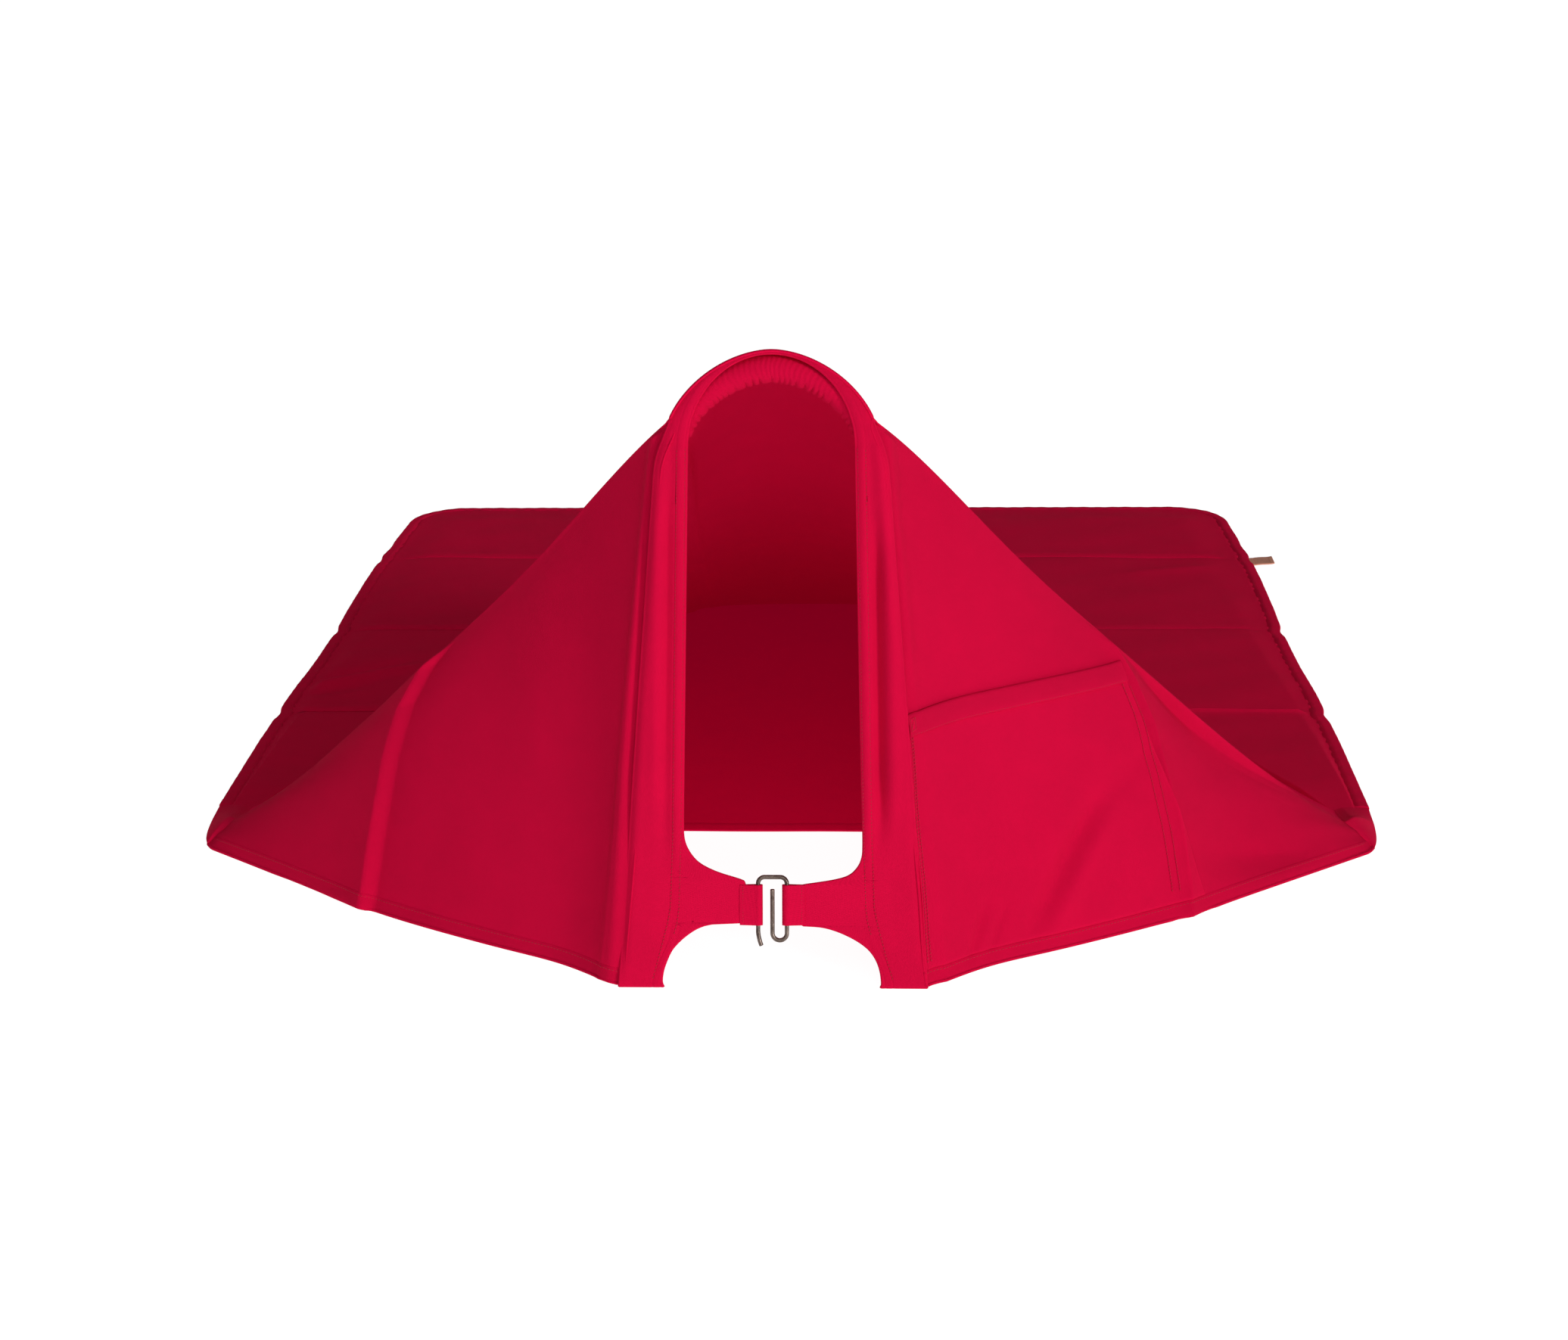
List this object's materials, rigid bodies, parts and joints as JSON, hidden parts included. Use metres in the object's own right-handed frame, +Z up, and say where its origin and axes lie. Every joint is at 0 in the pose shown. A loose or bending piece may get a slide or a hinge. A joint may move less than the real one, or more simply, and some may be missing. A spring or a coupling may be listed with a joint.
{
  "type": "hooded fire blanket",
  "caption": "Red fire blanket spread flat with its hood standing, a tall face opening, two strap lapels held by a bent-wire clasp, and a pocket.",
  "frame": {"origin": "middle of the square blanket, on the underside of its lining, which lies on the floor", "axes": "+Z up, -Y the way the face opening looks, +X to the right of someone who looks into the opening"},
  "size_m": [1.225, 1.5535, 0.5535],
  "materials": {
    "shell_cloth": "tightly woven flame-retardant twill, matte red",
    "lining_cloth": "woven red lining, matte, darker inside the hood",
    "trim_cloth": "folded and stitched red facing and hem tape",
    "rim_cloth": "red cloth gathered over a soft roll",
    "padding": "off-white fibre wadding",
    "elastic": "woven elastic tape",
    "clasp_wire": "bronze-grey plated steel wire, satin",
    "tab_leather": "tan leather"
  },
  "bodies": {
    "root": {"arch_band": "trim_cloth", "far_hem": "trim_cloth", "front_hem_left": "trim_cloth", "front_hem_right": "trim_cloth", "front_panel_left": "shell_cloth", "front_panel_right": "shell_cloth", "hood_collar": "shell_cloth", "hood_crown": "shell_cloth", "hood_slope_left": "shell_cloth", "hood_slope_right": "shell_cloth", "lapel_left": "trim_cloth", "lapel_right": "trim_cloth", "lining_near_hem": "lining_cloth", "lining_sheet": "lining_cloth", "near_corner_left": "trim_cloth", "near_corner_right": "trim_cloth", "pocket_hem": "trim_cloth", "pocket_patch": "shell_cloth", "pocket_tack": "trim_cloth", "rim_cover": "rim_cloth", "rim_elastic": "elastic", "rim_padding": "padding", "shell_field": "shell_cloth", "side_hem_left": "trim_cloth", "side_hem_right": "trim_cloth"},
    "clasp": {"clasp": "clasp_wire"},
    "side_tab": {"side_tab": "tab_leather"}
  },
  "joints": [
    {"name": "clasp_slide", "type": "slide", "parent": "root", "child": "clasp", "axis": [0, 0.2588, 0.9659], "range_m": [0, 0.005]},
    {"name": "tab_flip", "type": "hinge", "parent": "root", "child": "side_tab", "pos_m": [0.6013, 0.343, 0.001], "axis": [0, -1, 0], "range_deg": [0, 90]}
  ]
}
